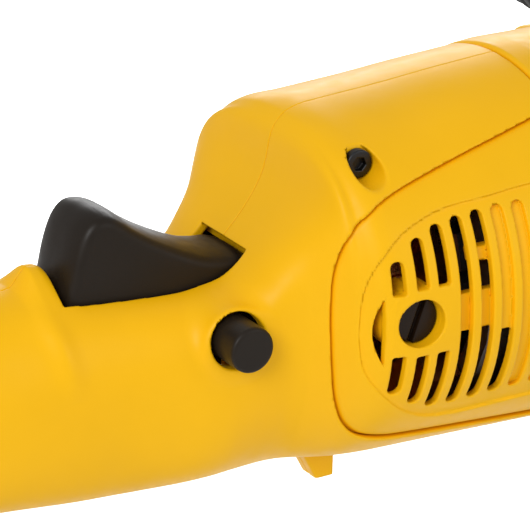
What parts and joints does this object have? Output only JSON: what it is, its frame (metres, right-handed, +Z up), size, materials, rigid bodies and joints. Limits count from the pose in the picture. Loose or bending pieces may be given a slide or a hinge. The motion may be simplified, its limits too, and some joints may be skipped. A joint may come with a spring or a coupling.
{
  "type": "power screed",
  "caption": "Right-angle electric power head with trigger handle on a column above a vibrating straight screed blade, with a fold-up prop.",
  "frame": {"origin": "centre of the blade's sole, under the axis of the column", "axes": "+Z up, +Y along the blade, -X towards the operator and the rear handle"},
  "size_m": [0.455, 1.21, 0.9122],
  "materials": {
    "yellow_plastic": "satin moulded ABS",
    "black_plastic": "satin moulded nylon",
    "brown_plastic": "phenolic screw cap",
    "red_plastic": "moulded",
    "black_rubber": "moulded rubber",
    "steel": "ground and zinc plated",
    "dark_steel": "black oxide",
    "steel_plate": "grey powder coat",
    "laminations": "stacked sheet",
    "copper": "varnished copper",
    "carbon": "pressed carbon",
    "aluminium": "mill finish extrusion",
    "cast_aluminium": "shot-blasted casting"
  },
  "bodies": {
    "frame": {"bearing_box": "cast_aluminium", "bearing_bracket": "black_plastic", "blade_bolt_1": "steel", "blade_bolt_2": "steel", "blade_bolt_3": "steel", "blade_bolt_4": "steel", "blade_cap_left": "black_plastic", "blade_cap_right": "black_plastic", "brush_cap_left": "brown_plastic", "brush_cap_right": "brown_plastic", "carbon_brush_left": "carbon", "carbon_brush_right": "carbon", "column_bearing": "steel", "column_foot": "steel_plate", "column_screw_lower": "dark_steel", "column_screw_upper": "dark_steel", "column_tube": "aluminium", "cord_gland": "black_rubber", "exciter_bearing_lower": "steel", "exciter_bearing_upper": "steel", "exciter_cover": "steel_plate", "exciter_housing": "cast_aluminium", "field_coil_lower": "copper", "field_coil_upper": "copper", "front_bearing": "steel", "gear_case": "cast_aluminium", "handle_screw_front": "dark_steel", "handle_screw_middle": "dark_steel", "handle_screw_rear": "dark_steel", "handle_shell_left": "yellow_plastic", "handle_shell_right": "yellow_plastic", "isolator_1": "black_rubber", "isolator_2": "black_rubber", "isolator_3": "black_rubber", "isolator_4": "black_rubber", "lock_spring": "steel", "motor_housing": "yellow_plastic", "output_bearing": "steel", "rear_bearing": "steel", "screed_blade": "aluminium", "side_grip": "black_rubber", "stator_core": "laminations", "switch_body": "black_plastic", "trigger_spring": "steel"},
    "trigger": {"trigger": "black_plastic"},
    "lock_button": {"lock_button": "black_plastic"},
    "switch_plunger": {"switch_plunger": "red_plastic"},
    "armature": {"armature_shaft": "steel", "armature_core": "laminations", "armature_winding": "copper", "commutator": "copper", "cooling_fan": "black_plastic", "drive_pinion": "steel"},
    "drive_line": {"bevel_gear": "steel", "output_shaft": "steel", "drive_shaft": "steel", "flexible_coupling": "black_rubber", "exciter_shaft": "steel", "eccentric_weight": "dark_steel"},
    "kick_stand": {"kick_stand": "steel"}
  },
  "joints": [
    {"name": "trigger_hinge", "type": "hinge", "parent": "frame", "child": "trigger", "pos_m": [-0.196, 0, 0.862], "axis": [0, -1, 0], "range_deg": [0, 10], "stiffness_Nm_per_rad": 0.6, "springref_deg": -14.32, "deforming": ["trigger_spring"]},
    {"name": "lock_button_slide", "type": "slide", "parent": "frame", "child": "lock_button", "axis": [0, 1, 0], "range_m": [0, 0.005], "stiffness_N_per_m": 800, "springref_m": -0.003},
    {"name": "plunger_slide", "type": "slide", "parent": "frame", "child": "switch_plunger", "axis": [0, 0, -1], "range_m": [0, 0.005]},
    {"name": "drive_line_spin", "type": "hinge", "parent": "frame", "child": "drive_line", "pos_m": [0, 0, 0.86], "axis": [0, 0, 1], "continuous": true},
    {"name": "armature_spin", "type": "hinge", "parent": "frame", "child": "armature", "pos_m": [-0.165, 0, 0.86], "axis": [1, 0, 0], "continuous": true},
    {"name": "stand_fold", "type": "hinge", "parent": "frame", "child": "kick_stand", "pos_m": [-0.066, 0, 0.1272], "axis": [0, 1, 0], "range_deg": [0, 112]}
  ],
  "couplings": [
    {"joint": "plunger_slide", "follows": "trigger_hinge", "m_per_rad": 0.0275},
    {"joint": "armature_spin", "follows": "drive_line_spin", "ratio": -3.2222}
  ]
}
